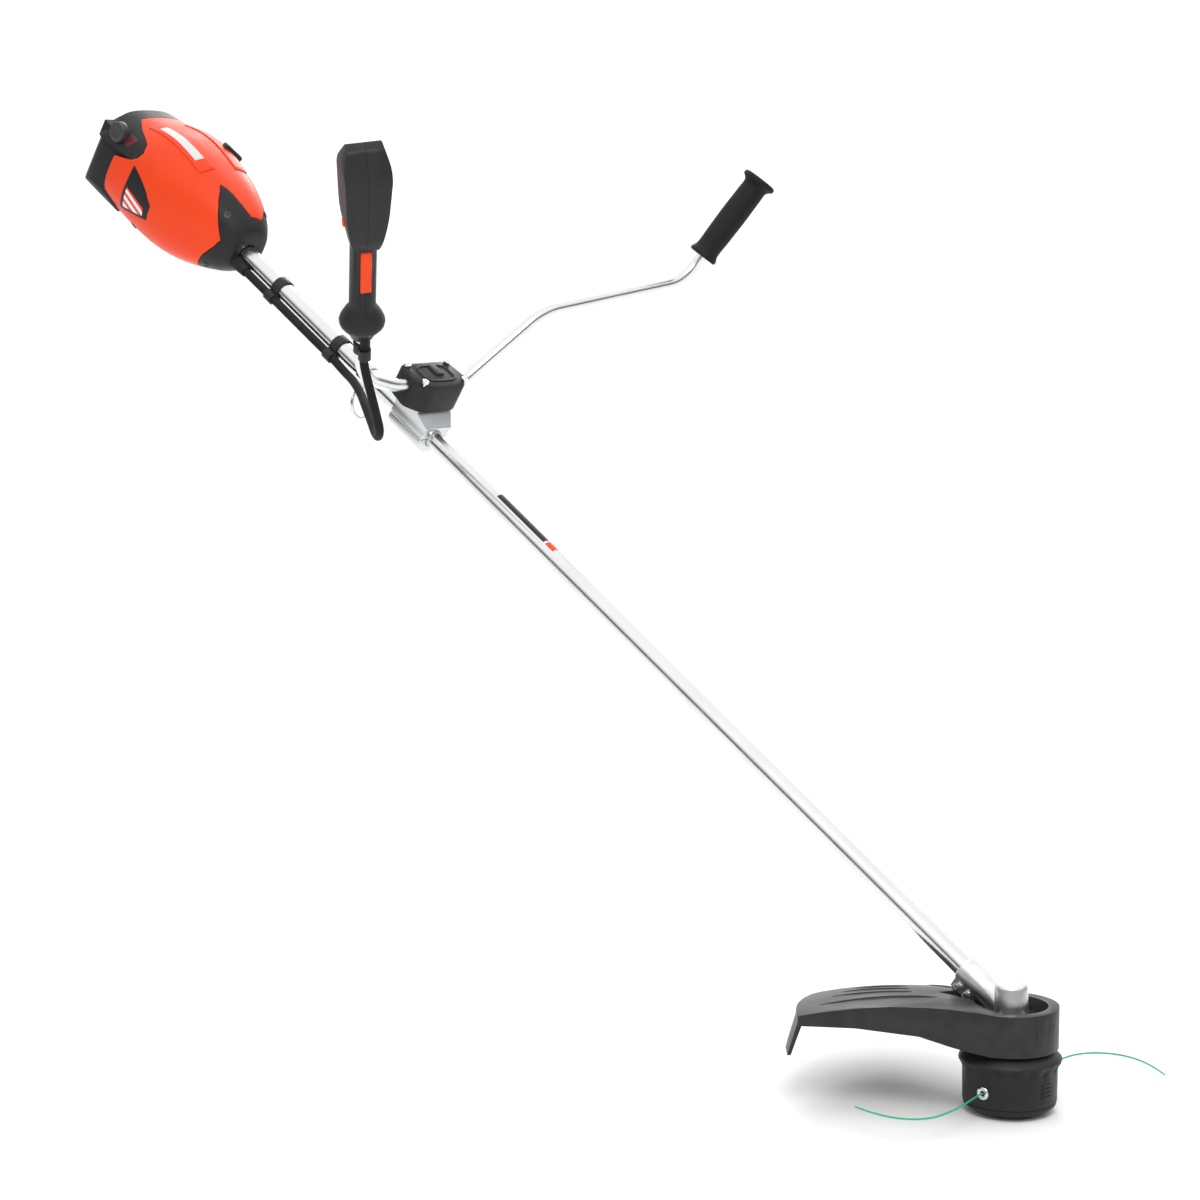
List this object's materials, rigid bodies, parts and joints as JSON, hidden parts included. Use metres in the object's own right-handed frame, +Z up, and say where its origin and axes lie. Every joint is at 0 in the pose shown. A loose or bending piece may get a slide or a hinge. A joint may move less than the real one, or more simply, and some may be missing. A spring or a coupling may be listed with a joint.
{
  "type": "string trimmer",
  "caption": "Battery string trimmer: orange and black powerhead, straight aluminium shaft, U handlebar with throttle grip, angled gear case, shield and bump-feed head.",
  "frame": {"origin": "centre of the bump knob's flat lower face, on the head's spin axis", "axes": "+Z up along the head's spin axis, +X forwards from the powerhead to the cutting head, +Y to the machine's left"},
  "size_m": [1.7259, 0.8628, 1.1999],
  "materials": {
    "orange_plastic": "smooth moulded orange shell, slight gloss",
    "black_plastic": "fine grained black moulding",
    "grey_plastic": "dark grey moulding",
    "rubber": "matt black rubber",
    "aluminium": "bright drawn tube",
    "cast_aluminium": "satin die casting",
    "steel": "bright plated steel",
    "dark_steel": "ground gear and lamination steel",
    "copper": "enamelled copper windings",
    "nylon": "green nylon",
    "board": "green circuit board"
  },
  "bodies": {
    "frame": {"main_tube": "aluminium", "handlebar": "aluminium", "shaft_bushing_lower": "rubber", "shaft_bushing_upper": "rubber", "passive_grip": "rubber", "control_cable": "rubber", "cable_gland": "rubber", "pinion_bearing": "steel", "output_bearing_upper": "steel", "output_bearing_lower": "steel", "case_clamp_bolt_front": "steel", "case_clamp_bolt_rear": "steel", "shield_screw_1": "steel", "shield_screw_2": "steel", "shield_screw_3": "steel", "line_cutter": "steel", "clamp_bolt_1": "steel", "clamp_bolt_2": "steel", "clamp_bolt_3": "steel", "clamp_bolt_4": "steel", "hanger_band": "steel", "gear_case": "cast_aluminium", "clamp_base": "cast_aluminium", "clamp_shaft_cap": "cast_aluminium", "motor_frame": "cast_aluminium", "shield": "black_plastic", "throttle_half_outer": "black_plastic", "throttle_half_inner": "black_plastic", "clamp_cover": "black_plastic", "cable_clip_lower": "black_plastic", "cable_clip_upper": "black_plastic", "cable_strap": "black_plastic", "nose_housing": "black_plastic", "rear_housing": "black_plastic", "motor_cover": "orange_plastic", "motor_stator": "copper", "controller_board": "board"},
    "head": {"output_shaft": "steel", "bevel_gear": "dark_steel", "head_housing": "black_plastic", "head_lid": "black_plastic", "eyelet_right": "aluminium", "eyelet_left": "aluminium", "knob_spring": "steel", "trimmer_line_right": "nylon", "trimmer_line_left": "nylon"},
    "knob": {"bump_knob": "black_plastic"},
    "spool": {"line_spool": "nylon"},
    "drive_line": {"drive_shaft": "steel", "pinion_gear": "dark_steel", "drive_coupling": "steel", "motor_rotor": "dark_steel", "cooling_fan": "black_plastic"},
    "trigger": {"throttle_trigger": "orange_plastic"},
    "lockout": {"lockout_lever": "grey_plastic"},
    "power_switch": {"power_button": "orange_plastic"},
    "speed_control": {"speed_dial": "grey_plastic"},
    "battery": {"battery_pack": "black_plastic"},
    "release_button": {"battery_release": "grey_plastic"},
    "hook_ring": {"hanger_ring": "steel"}
  },
  "joints": [
    {"name": "head_spin", "type": "hinge", "parent": "frame", "child": "head", "pos_m": [0, 0, 0.115], "axis": [0, 0, 1], "continuous": true},
    {"name": "drive_spin", "type": "hinge", "parent": "frame", "child": "drive_line", "pos_m": [0, 0, 0.115], "axis": [-0.8339, 0, 0.5519], "continuous": true},
    {"name": "knob_press", "type": "slide", "parent": "head", "child": "knob", "axis": [0, 0, 1], "range_m": [0, 0.006], "stiffness_N_per_m": 1200, "springref_m": -0.006, "deforming": ["knob_spring"]},
    {"name": "spool_spin", "type": "hinge", "parent": "knob", "child": "spool", "pos_m": [0, 0, 0.03], "axis": [0, 0, 1], "continuous": true},
    {"name": "throttle_pull", "type": "hinge", "parent": "frame", "child": "trigger", "pos_m": [-0.84283, -0.23314, 1.00462], "axis": [0.5494, 0.828, 0.1127], "range_deg": [0, 13], "stiffness_Nm_per_rad": 0.6, "springref_deg": -20.05},
    {"name": "lockout_press", "type": "hinge", "parent": "frame", "child": "lockout", "pos_m": [-0.8555, -0.22619, 1.01534], "axis": [-0.5494, -0.828, -0.1127], "range_deg": [0, 9], "stiffness_Nm_per_rad": 0.5, "springref_deg": -17.19},
    {"name": "power_press", "type": "slide", "parent": "frame", "child": "power_switch", "axis": [0.5494, 0.828, 0.1127], "range_m": [0, 0.002], "stiffness_N_per_m": 800, "springref_m": -0.002},
    {"name": "speed_turn", "type": "hinge", "parent": "frame", "child": "speed_control", "pos_m": [-0.83291, -0.24963, 1.07736], "axis": [0.5494, 0.828, 0.1127], "range_deg": [0, 120]},
    {"name": "battery_slide", "type": "slide", "parent": "frame", "child": "battery", "axis": [-0.8339, 0, 0.5519], "range_m": [0, 0.1]},
    {"name": "release_press", "type": "slide", "parent": "frame", "child": "release_button", "axis": [0, 1, 0], "range_m": [0, 0.003], "stiffness_N_per_m": 900, "springref_m": -0.003},
    {"name": "ring_swing", "type": "hinge", "parent": "frame", "child": "hook_ring", "pos_m": [-1.09395, 0, 0.80669], "axis": [0, 1, 0], "range_deg": [-60, 60]}
  ],
  "couplings": [
    {"joint": "drive_spin", "follows": "head_spin", "ratio": -1.4}
  ]
}
